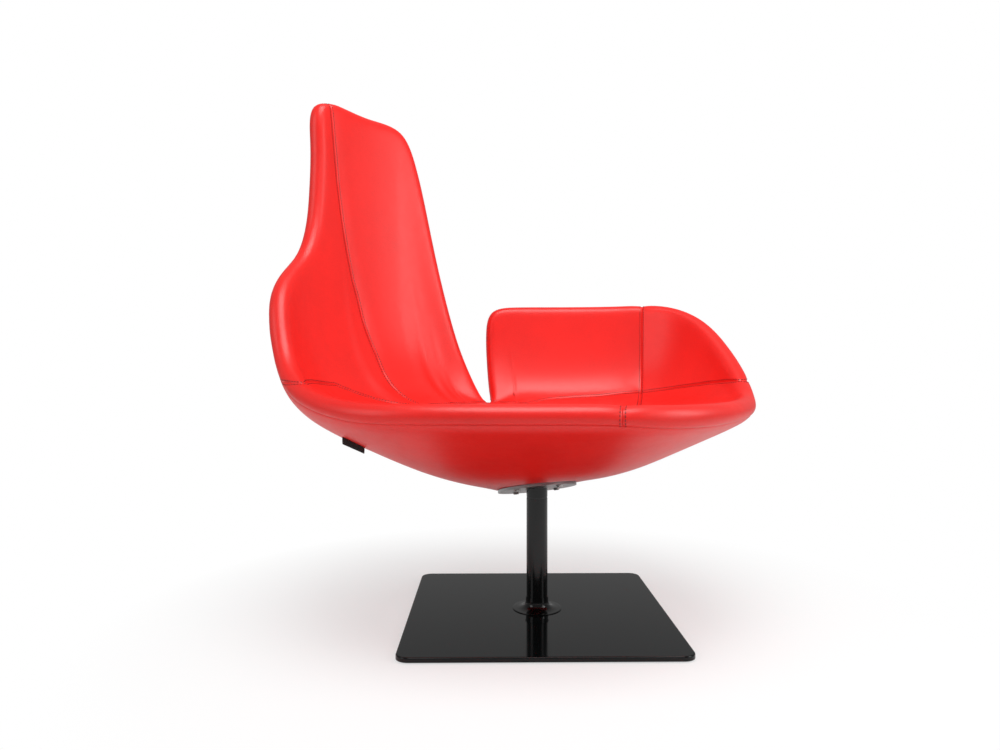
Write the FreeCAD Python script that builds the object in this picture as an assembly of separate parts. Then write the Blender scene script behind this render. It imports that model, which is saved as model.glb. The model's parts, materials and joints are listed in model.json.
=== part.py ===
# Pedestal swivel armchair: a padded leather shell with a tall back, a low wrap-round arm and
# a slit between them, on a round column and a square lacquered plate.
# Frame: origin on the floor under the swivel axis, +Z up, plate edges along X and Y.
# Angles are plan angles in degrees about the swivel axis, counted from +X. Lengths are in mm.

import FreeCAD
import Part
import math
import os

from FreeCAD import Vector

# Base plate and the pad under it
PLATE_SIDE = 480.0
PLATE_CORNER = 22.0
PLATE_THICK = 8.0
PLATE_EDGE_ROUND = 2.5
PAD_THICK = 2.0
PAD_MARGIN = 8.0

# Column, its flared collar and the screw that holds it down
COLUMN_RADIUS = 20.0
COLUMN_WALL = 3.0
COLUMN_TOP = 219.0
COLLAR_RADIUS = 46.0
COLLAR_HEIGHT = 24.0
COLLAR_RIM = 1.5
COLLAR_LIP = 1.2
COLLAR_CONES = 4
PLUG_LENGTH = 30.0
BASE_SCREW_RADIUS = 6.0
BASE_SCREW_LENGTH = 28.0

# Swivel bearings in the column
SPINDLE_RADIUS = 12.0
SPINDLE_BOTTOM = 74.0
BUSH_LENGTH = 32.0
BUSH_FLANGE = 2.0
LOWER_BUSH_TOP = 122.0
WASHER_THICK = 1.6
RING_THICK = 1.8
RING_DEPTH = 1.2
RUN_FIT = 0.05
SEAT_FIT = 0.1

# Tilted mounting disc under the shell, with its screws
HUB_Z = 241.0
HUB_SLOPE_X = 0.107
HUB_SLOPE_Y = -0.24
DISC_RADIUS = 75.0
DISC_THICK = 5.0
DISC_SCREW_CIRCLE = 56.0
DISC_SCREW_COUNT = 4
DISC_SCREW_RADIUS = 4.0
DISC_SCREW_HEAD = 7.0
DISC_SCREW_HEAD_HIGH = 3.2

# Upholstered shell: rim heights are those of the centre of the rolled edge
ROLL_RADIUS = 20.0
RIM_Z = 390.0
ARM_RISE = 202.0
BACK_RISE = 614.0
WING_RISE = 246.0
WALL_SCALE = 290.0
FLARE_HEIGHT = 200.0
BELLY = 0.95
SEAT_Z = 365.0
EDGE_FLAT = 34.0
HUB_MARGIN = 1.0

# Leather, the gap between leather and foam, and the gap at the seam under the roll
LEATHER = 1.6
SKIN_GAP = 0.3
SEAM_ROW = 6.40
SEAM_GAP_ROWS = 0.03

# Facets of the leather and the foam: the hub angle over which a span between two stations
# is halved, and the rows across the stations
SPLIT_ANGLE = 7.5
UNDER_ROWS = [0.0, 1.0, 1.8, 2.5, 3.2, 4.2, 5.4]
INSIDE_ROWS = [7.1, 8.0, 9.0, 10.1, 11.3, 12.5, 13.6, 14.4, 15.2, 16.3, 18.0]

# Welded frame in the foam, with its bars' corners as (angle, belly fraction)
BAR_SIDE = 14.0
THIN_BAR_SIDE = 12.0
HUB_PLATE_RADIUS = 68.0
HUB_PLATE_THICK = 6.0
RING_CORNERS = 8
RING_PLACE = 0.78
SPOKE_KNEE = 0.22
FRAME_LIFT = 10.5
FRAME_LIFT_FADE = 4.0
BACK_HOOP = [
    (180, 0.78), (177, 1.25), (172, 1.75), (157.5, 2.45), (157.0, 2.85),
    (142.0, 2.8), (134, 2.2), (128, 1.5), (124, 0.95), (135, 0.78),
]
ARM_HOOP = [(90, 0.78), (94, 1.1), (95, 1.52), (70, 1.52), (44, 1.5), (24, 1.2), (12, 0.98), (0, 0.78)]

# Small fabric tab under the shell: where its two ends leave the leather
TAB_DROP = 13.0
TAB_THICK = 1.0
TAB_ROOT = 6.0
TAB_ENDS = [Vector(-332, -180, 350), Vector(-302, -150, 331)]

# Plan outline of the wall's foot, as (angle, radius)
FOOT_RADIUS = [
    (0, 397), (15, 392), (30, 392), (45, 380), (60, 350), (75, 322),
    (90, 312), (105, 318), (120, 335), (135, 355), (150, 372), (165, 390),
    (180, 412), (192, 428), (205, 430), (217, 417), (228, 402), (240, 377),
    (255, 348), (270, 336), (285, 345), (298, 364), (311, 366), (325, 368),
    (341, 374), (352, 392),
]

# Outward flare of the wall over its height, as (angle, flare)
WALL_FLARE = [
    (0, 30), (15, 52), (30, 64), (60, 62), (90, 60), (105, 62), (120, 66), (150, 70),
    (165, 80), (180, 93), (192, 94), (210, 60), (230, 20), (270, 10), (330, 10),
]

# Share of the belly and wall that the bend between them takes, as (angle, share)
BEND_SHARES = [
    (0, 0.15), (20, 0.30), (60, 0.35), (120, 0.40), (170, 0.35),
    (190, 0.25), (215, 0.06), (270, 0.03), (330, 0.03),
]

# Lift of the seat's edge above the front rim's level, as (angle, lift)
SEAT_EDGE_LIFT = [
    (0, 8), (30, 8), (90, 4), (110, 0), (150, 6), (190, 10), (215, 4), (240, 0), (270, 0), (330, 0),
]

# Rolled edge all round, as (name, angle, height above the front rim, angle at the hub)
RIM = [
    ("front", -90.0, 0.0, -90.0),
    ("front_2", -76.0, 0.0, -76.0),
    ("front_bend", -62.0, -2.0, -61.0),
    ("front_side", -44.0, -2.0, -45.0),
    ("tip_near", -26.0, -1.0, -28.0),
    ("tip", -11.0, 1.0, -14.0),
    ("tip_rise", -2.0, 12.0, -1.0),
    ("arm_rise_1", 8.0, 0.27 * ARM_RISE, 11.0),
    ("arm_rise_2", 19.0, 0.54 * ARM_RISE, 22.0),
    ("arm_rise_3", 30.0, 0.83 * ARM_RISE, 33.0),
    ("arm_corner", 42.0, 1.01 * ARM_RISE, 44.0),
    ("arm_top_1", 56.0, ARM_RISE, 56.0),
    ("arm_top_2", 70.0, ARM_RISE, 67.0),
    ("arm_top_3", 84.0, ARM_RISE, 78.0),
    ("arm_top_4", 95.0, ARM_RISE, 84.0),
    ("arm_slit_top", 103.0, 1.01 * ARM_RISE, 88.5),
    ("arm_slit_1", 103.0, 0.78 * ARM_RISE, 91.5),
    ("arm_slit_2", 103.0, 0.50 * ARM_RISE, 94.5),
    ("arm_slit_3", 103.2, 0.20 * ARM_RISE, 98.5),
    ("slit_foot_arm", 103.4, -2.0, 103.0),
    ("slit_foot", 109.5, -24.0, 109.5),
    ("slit_foot_back", 115.3, -2.0, 116.0),
    ("back_far_1", 117.4, 0.08 * BACK_RISE, 120.0),
    ("back_far_2", 120.4, 0.195 * BACK_RISE, 124.0),
    ("back_far_3", 123.7, 0.36 * BACK_RISE, 127.5),
    ("back_far_4", 127.0, 0.545 * BACK_RISE, 131.0),
    ("back_far_5", 130.0, 0.735 * BACK_RISE, 134.5),
    ("back_far_6", 132.8, 0.88 * BACK_RISE, 138.0),
    ("back_far_top", 136.0, BACK_RISE, 141.5),
    ("back_top_1", 147.0, 0.987 * BACK_RISE, 146.0),
    ("back_top_2", 156.0, BACK_RISE, 149.5),
    ("back_near_top", 164.6, 1.012 * BACK_RISE, 153.0),
    ("back_near_1", 163.0, 0.88 * BACK_RISE, 156.5),
    ("back_near_2", 164.0, 0.735 * BACK_RISE, 160.0),
    ("back_near_3", 165.5, 0.60 * BACK_RISE, 164.0),
    ("back_near_4", 170.0, 0.47 * BACK_RISE, 169.0),
    ("wing_shoulder", 178.0, WING_RISE, 175.0),
    ("wing_1", 185.0, 0.81 * WING_RISE, 181.0),
    ("wing_2", 188.5, 0.55 * WING_RISE, 187.0),
    ("wing_3", 193.0, 0.305 * WING_RISE, 194.0),
    ("wing_foot", 201.0, 0.142 * WING_RISE, 202.0),
    ("near_left", 211.0, 0.053 * WING_RISE, 212.0),
    ("near_corner", 224.0, 0.0, 224.0),
    ("near_1", 237.0, 0.0, 238.0),
    ("near_2", 254.0, 0.0, 254.0),
]

# Belly fractions of the sections' control points, from the hub to the rolled edge
SECTION_STEPS = [0.0, 0.10, 0.28, 0.46, 0.64, 0.82]

# Control points round the rolled edge, as (angle, share of the roll's radius)
ROLL_POINTS = [(90, 1.0), (52, 1.12), (18, 1.13), (-18, 1.13), (-52, 1.12), (-90, 1.0)]

# The seat's middle is a small flat disc inside the last two rings of control points
SEAT_RING = 45.0
SEAT_DISC = 20.0

# Seam planes in the leather: the back and arm join the seat at a sloping plane
SEAT_SEAM_Z = 438.0
SEAT_SEAM_SLOPE_X = 0.040
SEAT_SEAM_SLOPE_Y = -0.158
SLIT_ANGLE = 109.4
BACK_SEAM = [Vector(-419, 134, 1007), Vector(-298, 153, 436), Vector(-388, 157, 690)]
ARM_SEAM = [Vector(100, -340, 400), Vector(268, 320, 400)]

FAR = 1500.0
UP = Vector(0, 0, 1)


def keyed(keys, angle):
    """Smooth periodic value at a plan angle, through (angle, value) keys."""
    angle %= 360.0
    count = len(keys)
    at = sum(1 for key in keys if key[0] <= angle) - 1

    def key(index):
        turns, place = divmod(index, count)
        return keys[place][0] + 360.0 * turns, keys[place][1]

    (x0, v0), (x1, v1), (x2, v2), (x3, v3) = [key(at + step) for step in (-1, 0, 1, 2)]
    before = (v1 - v0) / (x1 - x0)
    along = (v2 - v1) / (x2 - x1)
    after = (v3 - v2) / (x3 - x2)
    slope1 = (along * (x1 - x0) + before * (x2 - x1)) / (x2 - x0)
    slope2 = (after * (x2 - x1) + along * (x3 - x2)) / (x3 - x1)
    t = (angle - x1) / (x2 - x1)
    value = (2 * t ** 3 - 3 * t ** 2 + 1) * v1 + (3 * t ** 2 - 2 * t ** 3) * v2
    return value + (x2 - x1) * ((t ** 3 - 2 * t ** 2 + t) * slope1 + (t ** 3 - t ** 2) * slope2)


def around(radius, angle, z=0.0):
    """Point at a plan angle and radius from the swivel axis."""
    turn = math.radians(angle)
    return Vector(radius * math.cos(turn), radius * math.sin(turn), z)


def ease(x):
    """Smooth step from 0 to 1."""
    x = min(1.0, max(0.0, x))
    return x * x * (3.0 - 2.0 * x)


def hub_z(x, y):
    """Height of the tilted plane where the shell sits on its disc."""
    return HUB_Z + HUB_SLOPE_X * x + HUB_SLOPE_Y * y


def plain_section(angle, w):
    """(radius, height) of the shell's middle surface: w runs 0 to 1 up the belly, then up the wall."""
    foot = keyed(FOOT_RADIUS, angle)
    start = DISC_RADIUS - 3.0
    hub = around(start, angle)
    bottom = hub_z(hub.x, hub.y) + ROLL_RADIUS
    if w <= 1.0:
        climb = w - BELLY * w * (1.0 - w) ** 2
        return start + (foot - start) * w, bottom + (RIM_Z - bottom) * climb
    height = (w - 1.0) * WALL_SCALE
    flare = keyed(WALL_FLARE, angle) * (1.0 - math.exp(-height / FLARE_HEIGHT))
    return foot + flare, RIM_Z + height


def middle(angle, w):
    """Point on the shell's middle surface, with the bend between belly and wall rounded."""
    bend = keyed(BEND_SHARES, angle)
    if abs(w - 1.0) >= bend:
        radius, z = plain_section(angle, w)
        return around(radius, angle, z)
    t = (w - 1.0 + bend) / (2.0 * bend)
    ends = [plain_section(angle, 1.0 + side * bend) for side in (-1, 0, 1)]
    weights = [(1.0 - t) ** 2, 2.0 * t * (1.0 - t), t * t]
    radius = sum(weight * end[0] for weight, end in zip(weights, ends))
    z = sum(weight * end[1] for weight, end in zip(weights, ends))
    return around(radius, angle, z)


def slopes(angle, w):
    """Change of the middle surface per degree and per unit of w."""
    by_angle = middle(angle + 0.5, w) - middle(angle - 0.5, w)
    by_w = (middle(angle, w + 0.01) - middle(angle, w - 0.01)) * 50.0
    return by_angle, by_w


def outward(angle, w):
    """Unit normal of the middle surface on the side away from the sitter."""
    by_angle, by_w = slopes(angle, w)
    normal = by_angle.cross(by_w)
    normal.normalize()
    return normal


def w_at(angle, z):
    """Place on the section whose middle surface is at height z."""
    low, high = 0.2, 3.6
    for _ in range(40):
        half = (low + high) / 2.0
        if middle(angle, half).z < z:
            low = half
        else:
            high = half
    return (low + high) / 2.0


def step_on(angle, w, move):
    """Chart place reached from (angle, w) by a short move along the surface."""
    by_angle, by_w = slopes(angle, w)
    aa, ab, bb = by_angle.dot(by_angle), by_angle.dot(by_w), by_w.dot(by_w)
    pa, pb = move.dot(by_angle), move.dot(by_w)
    det = aa * bb - ab * ab
    return angle + (pa * bb - pb * ab) / det, w + (pb * aa - pa * ab) / det


def seat_height(angle, point):
    """Height of the seat's upper surface under or over a point."""
    share = min(1.2, math.hypot(point.x, point.y) / keyed(FOOT_RADIUS, angle))
    edge = RIM_Z + ROLL_RADIUS - 3.0 + keyed(SEAT_EDGE_LIFT, angle)
    return SEAT_Z + (edge - SEAT_Z) * share ** 2.2


def rim_stations():
    """Centre of the rolled edge at each station, with its chart place, directions and flat margin."""
    chart = [(angle, w_at(angle, RIM_Z + rise)) for _, angle, rise, _ in RIM]
    centres = [middle(angle, w) for angle, w in chart]
    stations = []
    for index, (angle, w) in enumerate(chart):
        come = centres[index] - centres[index - 1]
        go = centres[(index + 1) % len(centres)] - centres[index]
        along = come + go
        normal = outward(angle, w)
        edge = normal.cross(along)
        edge.normalize()
        come.normalize()
        go.normalize()
        mitre = max(0.7, (come + go).Length / 2.0)
        stations.append((angle, w, centres[index], normal, edge, EDGE_FLAT / mitre))
    return stations


def section_points(station, hub_angle, inset):
    """Control points of one section: under the belly, round the roll and back over the seat."""
    angle, w, centre, normal, edge, margin = station
    radius = ROLL_RADIUS - inset
    near_angle, near_w = step_on(angle, w, edge * -margin)
    places = [(hub_angle + (near_angle - hub_angle) * step, near_w * step) for step in SECTION_STEPS]
    places.append((near_angle, near_w))
    under, over = [], []
    for index, (a, b) in enumerate(places):
        point = middle(a, b)
        side = outward(a, b)
        below = point + side * radius
        if index == 0:
            below = around(DISC_RADIUS + HUB_MARGIN - inset, a)
            below.z = hub_z(below.x, below.y) + inset
        under.append(below)
        wall = ease((b - 0.75) / (0.45 if keyed(BEND_SHARES, a) > 0.1 else 0.25))
        seat = Vector(point.x, point.y, seat_height(a, point) - inset)
        over.append(seat * (1.0 - wall) + (point - side * radius) * wall)
    roll = []
    for turn, share in ROLL_POINTS:
        turn = math.radians(turn)
        roll.append(centre + (normal * math.sin(turn) + edge * math.cos(turn)) * radius * share)
    rings = [around(SEAT_RING, hub_angle, SEAT_Z - inset + 1.0), around(SEAT_DISC, hub_angle, SEAT_Z - inset)]
    return under + roll + over[:0:-1] + rings


def shell_surface(inset):
    """Closed B-spline surface of the whole shell, a given depth under the leather."""
    rows = [section_points(station, key[3], inset) for station, key in zip(rim_stations(), RIM)]
    across = len(rows[0])
    surface = Part.BSplineSurface()
    surface.buildFromPolesMultsKnots(
        rows,
        [1] * (len(rows) + 1), [4] + [1] * (across - 4) + [4],
        list(range(len(rows) + 1)), list(range(across - 2)),
        True, False, 3, 3,
    )
    return surface


def columns():
    """Places of the facets' corners round the shell: the stations, and halfway over wide spans."""
    places = []
    for index, station in enumerate(RIM):
        places.append(index)
        following = RIM[(index + 1) % len(RIM)]
        if (following[3] - station[3]) % 360.0 > SPLIT_ANGLE:
            places.append(index + 0.5)
    return places


def loop_points(surface, row):
    """Corners of the facets round the shell at one row."""
    return [surface.value(place, row) for place in columns()]


def triangle(a, b, c):
    return Part.Face(Part.makePolygon([a, b, c, a]))


def strip(loop, other):
    """Facets between two closed loops of corners."""
    faces = []
    for index in range(len(loop)):
        a, b, c, d = loop[index - 1], loop[index], other[index - 1], other[index]
        faces.append(triangle(a, b, d))
        faces.append(triangle(a, d, c))
    return faces


def facets(surface, rows):
    """Flat facets of the shell surface between the given rows."""
    loops = [loop_points(surface, row) for row in rows]
    return [face for pair in zip(loops, loops[1:]) for face in strip(*pair)]


def flat_cap(loop):
    """Flat face that closes the shell at one of its ends."""
    return Part.Face(Part.makePolygon(loop + [loop[0]]))


def closed_solid(faces):
    """Solid inside a set of faces that meet edge to edge."""
    shell = Part.makeShell(faces)
    shell.sewShape()
    solid = Part.Solid(Part.Shell(shell.Faces))
    if solid.Volume < 0:
        solid.reverse()
    return solid


def half_space(point, direction):
    """Large block that fills the side of a plane that the direction points to."""
    block = Part.makeBox(2 * FAR, 2 * FAR, FAR, Vector(-FAR, -FAR, 0))
    block.Placement = FreeCAD.Placement(point, FreeCAD.Rotation(UP, direction))
    return block


def tilted(shape, z=0.0):
    """Shape moved from the XY plane to the tilted hub plane, z above it."""
    normal = Vector(-HUB_SLOPE_X, -HUB_SLOPE_Y, 1.0)
    normal.normalize()
    placed = shape.copy()
    placed.Placement = FreeCAD.Placement(
        Vector(0, 0, HUB_Z) + normal * z, FreeCAD.Rotation(UP, normal)
    )
    return placed


def ring(outer, inner, bottom, top):
    """Round sleeve about the swivel axis."""
    body = Part.makeCylinder(outer, top - bottom, Vector(0, 0, bottom))
    return body.cut(Part.makeCylinder(inner, top - bottom, Vector(0, 0, bottom)))


def rounded_slab(side, corner, bottom, thick):
    """Square sheet with rounded corners, centred on the axis."""
    slab = Part.makeBox(side, side, thick, Vector(-side / 2, -side / 2, bottom))
    upright = [edge for edge in slab.Edges if abs(edge.tangentAt(edge.FirstParameter).z) > 0.9]
    return slab.makeFillet(corner, upright)


def mitred_bar(points, side):
    """Square bar along straight runs, mitred where they meet."""
    path = Part.makePolygon(points)
    along = points[1] - points[0]
    across = along.cross(UP)
    across.normalize()
    over = across.cross(along)
    over.normalize()
    turns = [(1, 1), (-1, 1), (-1, -1), (1, -1), (1, 1)]
    corners = [points[0] + (across * x + over * y) * (side / 2.0) for x, y in turns]
    return path.makePipeShell([Part.makePolygon(corners)], True, False, 1)


# Base

def base_plate():
    slab = rounded_slab(PLATE_SIDE, PLATE_CORNER, PAD_THICK, PLATE_THICK)
    top = [edge for edge in slab.Edges if edge.BoundBox.ZMin > PAD_THICK + PLATE_THICK / 2]
    slab = slab.makeFillet(PLATE_EDGE_ROUND, top)
    slab = slab.cut(Part.makeCylinder(BASE_SCREW_RADIUS + SEAT_FIT, PLATE_THICK, Vector(0, 0, PAD_THICK)))
    return slab.cut(screw_head(SEAT_FIT))


def screw_head(grow):
    """Countersunk head of the base screw, flush with the plate's underside."""
    high = BASE_SCREW_RADIUS
    return Part.makeCone(2 * high + grow, high + grow, high, Vector(0, 0, PAD_THICK))


def base_pad():
    side = PLATE_SIDE - 2 * PAD_MARGIN
    return rounded_slab(side, PLATE_CORNER - PAD_MARGIN / 2, 0.0, PAD_THICK)


def base_collar():
    """Trumpet collar: a concave flare, in short cones, from the column to a thin lip on the plate."""
    foot = PAD_THICK + PLATE_THICK
    bore = COLUMN_RADIUS + SEAT_FIT
    neck = bore + COLLAR_LIP
    outline = [Vector(bore, 0, foot), Vector(COLLAR_RADIUS, 0, foot)]
    for index in range(COLLAR_CONES + 1):
        share = index / COLLAR_CONES
        radius = neck + (COLLAR_RADIUS - neck) * (1.0 - share) ** 2.0
        climb = 1.0 - (1.0 - share ** 2.0) ** 0.5
        outline.append(Vector(radius, 0, foot + COLLAR_RIM + (COLLAR_HEIGHT - COLLAR_RIM) * climb))
    outline.append(Vector(bore, 0, foot + COLLAR_HEIGHT))
    return Part.Face(Part.makePolygon(outline + [outline[0]])).revolve(Vector(0, 0, 0), UP, 360)


def column_tube():
    return ring(COLUMN_RADIUS, COLUMN_RADIUS - COLUMN_WALL, PAD_THICK + PLATE_THICK, COLUMN_TOP)


def column_foot_plug():
    bottom = PAD_THICK + PLATE_THICK
    plug = Part.makeCylinder(COLUMN_RADIUS - COLUMN_WALL - SEAT_FIT, PLUG_LENGTH, Vector(0, 0, bottom))
    depth = BASE_SCREW_LENGTH - PLATE_THICK + BASE_SCREW_RADIUS / 2
    return plug.cut(Part.makeCylinder(BASE_SCREW_RADIUS + SEAT_FIT, depth, Vector(0, 0, bottom)))


def base_screw():
    shank = Part.makeCylinder(BASE_SCREW_RADIUS, BASE_SCREW_LENGTH, Vector(0, 0, PAD_THICK))
    return shank.fuse(screw_head(0.0)).removeSplitter()


# Bearings

def lower_bush():
    return ring(COLUMN_RADIUS - COLUMN_WALL - SEAT_FIT, SPINDLE_RADIUS + RUN_FIT,
                LOWER_BUSH_TOP - BUSH_LENGTH, LOWER_BUSH_TOP)


def upper_bush():
    sleeve = ring(COLUMN_RADIUS - COLUMN_WALL - SEAT_FIT, SPINDLE_RADIUS + RUN_FIT,
                  COLUMN_TOP - BUSH_LENGTH, COLUMN_TOP + BUSH_FLANGE)
    flange = ring(COLUMN_RADIUS - 0.5, SPINDLE_RADIUS + RUN_FIT, COLUMN_TOP, COLUMN_TOP + BUSH_FLANGE)
    return sleeve.fuse(flange).removeSplitter()


def thrust_washer():
    bottom = COLUMN_TOP + BUSH_FLANGE
    return ring(COLUMN_RADIUS - 0.5, SPINDLE_RADIUS + SEAT_FIT, bottom, bottom + WASHER_THICK)


def ring_bottom():
    """Underside of the retaining ring in the spindle's groove."""
    return LOWER_BUSH_TOP - BUSH_LENGTH - RUN_FIT - RING_THICK


def under_disc(shape):
    """Part of a shape that lies below the tilted disc."""
    return shape.common(tilted(Part.makeCylinder(FAR / 10, FAR, Vector(0, 0, -FAR - DISC_THICK))))


def spindle():
    """Spindle, cut off at the disc's tilt, with the retaining ring's groove near its foot."""
    shaft = Part.makeCylinder(SPINDLE_RADIUS, HUB_Z - SPINDLE_BOTTOM, Vector(0, 0, SPINDLE_BOTTOM))
    groove = ring(SPINDLE_RADIUS + 1.0, SPINDLE_RADIUS - RING_DEPTH, ring_bottom(), ring_bottom() + RING_THICK)
    return under_disc(shaft).cut(groove)


def swivel_head():
    """Cylinder above the column, cut off at the disc's tilt and bored for the spindle."""
    bottom = COLUMN_TOP + BUSH_FLANGE + WASHER_THICK
    return under_disc(ring(COLUMN_RADIUS, SPINDLE_RADIUS + SEAT_FIT, bottom, HUB_Z + COLUMN_RADIUS))


def retaining_ring():
    """Spring ring in the groove, open over one sector."""
    washer = ring(SPINDLE_RADIUS + 3.0, SPINDLE_RADIUS - RING_DEPTH + RUN_FIT,
                  ring_bottom() + RUN_FIT, ring_bottom() + RING_THICK - RUN_FIT)
    gap = Part.makeBox(SPINDLE_RADIUS + 6.0, 10.0, 4 * RING_THICK, Vector(0, -5.0, ring_bottom() - RING_THICK))
    return washer.cut(gap)


# Disc and frame

def disc_screw_places(z):
    step = 360.0 / DISC_SCREW_COUNT
    return [around(DISC_SCREW_CIRCLE, 45 + step * index, z) for index in range(DISC_SCREW_COUNT)]


def mounting_disc():
    disc = Part.makeCylinder(DISC_RADIUS, DISC_THICK, Vector(0, 0, -DISC_THICK))
    for place in disc_screw_places(-DISC_THICK):
        disc = disc.cut(Part.makeCylinder(DISC_SCREW_RADIUS + SEAT_FIT, DISC_THICK, place))
    return tilted(disc)


def disc_screws():
    """Pan-head screws from below, through the disc into the frame's hub plate."""
    screws = []
    for place in disc_screw_places(-DISC_THICK - DISC_SCREW_HEAD_HIGH):
        head = Part.makeCone(DISC_SCREW_HEAD * 0.7, DISC_SCREW_HEAD, DISC_SCREW_HEAD_HIGH, place)
        length = DISC_SCREW_HEAD_HIGH + DISC_THICK + HUB_PLATE_THICK
        shank = Part.makeCylinder(DISC_SCREW_RADIUS, length, place)
        screws.append(tilted(head.fuse(shank).removeSplitter()))
    return Part.makeCompound(screws)


def frame_points(places):
    """Corners of the frame's bars: on the middle surface, and above it under the seat."""
    lift = [FRAME_LIFT * min(1.0, max(0.0, FRAME_LIFT_FADE * (1.0 - w))) for _, w in places]
    return [middle(angle, w) - outward(angle, w) * high for (angle, w), high in zip(places, lift)]


def frame_blank(grow):
    """Hub plate, spokes, seat ring, back hoop and arm hoop, welded into one."""
    frame = tilted(Part.makeCylinder(HUB_PLATE_RADIUS + grow, HUB_PLATE_THICK + grow))
    step = 360.0 / RING_CORNERS
    corners = frame_points([(index * step, RING_PLACE) for index in range(RING_CORNERS)])
    half = RING_CORNERS // 2
    joints = [(corners[-1] + corners[0]) * 0.5, (corners[half - 1] + corners[half]) * 0.5]
    bar = BAR_SIDE + 2.0 * grow
    thin_bar = THIN_BAR_SIDE + 2.0 * grow
    bars = [
        mitred_bar([joints[0]] + corners[:half] + [joints[1]], bar),
        mitred_bar([joints[1]] + corners[half:] + [joints[0]], bar),
        mitred_bar(frame_points(BACK_HOOP), thin_bar),
        mitred_bar(frame_points(ARM_HOOP), thin_bar),
    ]
    for index in range(1, RING_CORNERS, 2):
        start = around(HUB_PLATE_RADIUS * 0.5, index * step)
        start.z = hub_z(start.x, start.y) + HUB_PLATE_THICK + THIN_BAR_SIDE * 0.4
        spoke = [(index * step, SPOKE_KNEE), (index * step, RING_PLACE)]
        bars.append(mitred_bar([start] + frame_points(spoke), thin_bar))
    for piece in bars:
        frame = frame.fuse(piece)
    return frame


def seat_frame():
    """Welded frame with the holes that its disc screws fill."""
    frame = frame_blank(0.0)
    for place in disc_screw_places(0.0):
        hole = Part.makeCylinder(DISC_SCREW_RADIUS + SEAT_FIT, 2 * HUB_PLATE_THICK, place)
        frame = frame.cut(tilted(hole))
    return frame


# Upholstery

def whole_shell(inset, rows):
    """Solid of the whole shell, a given depth under the leather's outside."""
    surface = shell_surface(inset)
    loops = [loop_points(surface, row) for row in (rows[0], rows[-1])]
    return closed_solid(facets(surface, rows) + [flat_cap(loop) for loop in loops])


def shell_foam():
    """Moulded foam with a pocket round the frame."""
    return whole_shell(LEATHER + SKIN_GAP, UNDER_ROWS + INSIDE_ROWS).cut(frame_blank(SKIN_GAP))


def seat_side():
    """Space under the sloping plane where the back and the arm are sewn to the seat."""
    upward = Vector(-SEAT_SEAM_SLOPE_X, -SEAT_SEAM_SLOPE_Y, 1.0)
    return half_space(Vector(0, 0, SEAT_SEAM_Z), -upward)


def arm_side():
    """Space on the arm's side of the slit."""
    return half_space(Vector(0, 0, 0), around(1.0, SLIT_ANGLE - 90.0))


def tip_side():
    """Space on the tip's side of the seam that crosses the front rim, the seat and the arm."""
    start, end = ARM_SEAM
    return half_space(start, (end - start).cross(UP))


def slit_side():
    """Space between the back's long seam and the slit."""
    top, foot, between = BACK_SEAM
    normal = (foot - top).cross(between - top)
    return half_space(top, normal if normal.x > 0 else -normal)


def pieces_of(shape, names, sides):
    """Shape cut by each side in turn: what lies inside takes its name, the rest goes on."""
    pieces = []
    for name, side in zip(names, sides):
        pieces.append((name, shape.common(side)))
        shape = shape.cut(side)
    pieces.append((names[-1], shape))
    return pieces


def leather_band(rows, closed):
    """Leather between its two surfaces and the given rows; over the seat flat discs close it."""
    outer, inner = shell_surface(0.0), shell_surface(LEATHER)
    faces = facets(outer, rows) + facets(inner, rows)
    faces += strip(loop_points(outer, rows[0]), loop_points(inner, rows[0]))
    outer_end, inner_end = loop_points(outer, rows[-1]), loop_points(inner, rows[-1])
    if closed:
        faces += [flat_cap(outer_end), flat_cap(inner_end)]
    else:
        faces += strip(outer_end, inner_end)
    return closed_solid(faces)


def inner_covers():
    """Leather over the seat, the back, the arm and the rolled edge, in six sewn panels."""
    skin = leather_band([SEAM_ROW + SEAM_GAP_ROWS] + INSIDE_ROWS, True)
    (_, seat), (_, arm), (_, back) = pieces_of(skin, ["seat", "arm", "back"], [seat_side(), arm_side()])
    panels = pieces_of(seat, ["seat_cover_front", "seat_cover_main"], [tip_side()])
    panels += pieces_of(arm, ["arm_cover_front", "arm_cover_rear"], [tip_side()])
    panels += pieces_of(back, ["back_cover_main", "back_cover_wing"], [slit_side()])
    return panels


def outer_cover():
    """Leather under the belly and outside the walls, up to the seam under the rolled edge."""
    return leather_band(UNDER_ROWS + [SEAM_ROW], False)


def seam_tab():
    """Small bare fabric tab sewn in at the seam, that hangs off the leather under the shell."""
    start, end = TAB_ENDS
    along = end - start
    along.normalize()
    across = along.cross(UP)
    across.normalize()
    loop = [
        start - across * TAB_THICK * 0.5 + UP * TAB_ROOT,
        end - across * TAB_THICK * 0.5 + UP * TAB_ROOT,
        end - across * TAB_THICK * 0.5 - UP * TAB_DROP,
        start - across * TAB_THICK * 0.5 - UP * TAB_DROP,
    ]
    plate = Part.Face(Part.makePolygon(loop + [loop[0]])).extrude(across * TAB_THICK)
    return plate.cut(whole_shell(-SKIN_GAP, UNDER_ROWS + INSIDE_ROWS))


def write(name, shape):
    """Save one sub-part under its node's name."""
    if shape.Volume < 0:
        shape.reverse()
    shape.exportStep("parts/" + name + ".step")
    print(name, round(shape.Volume / 1000.0, 1), "cm3", len(shape.Solids), "solids", shape.isValid())


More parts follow.
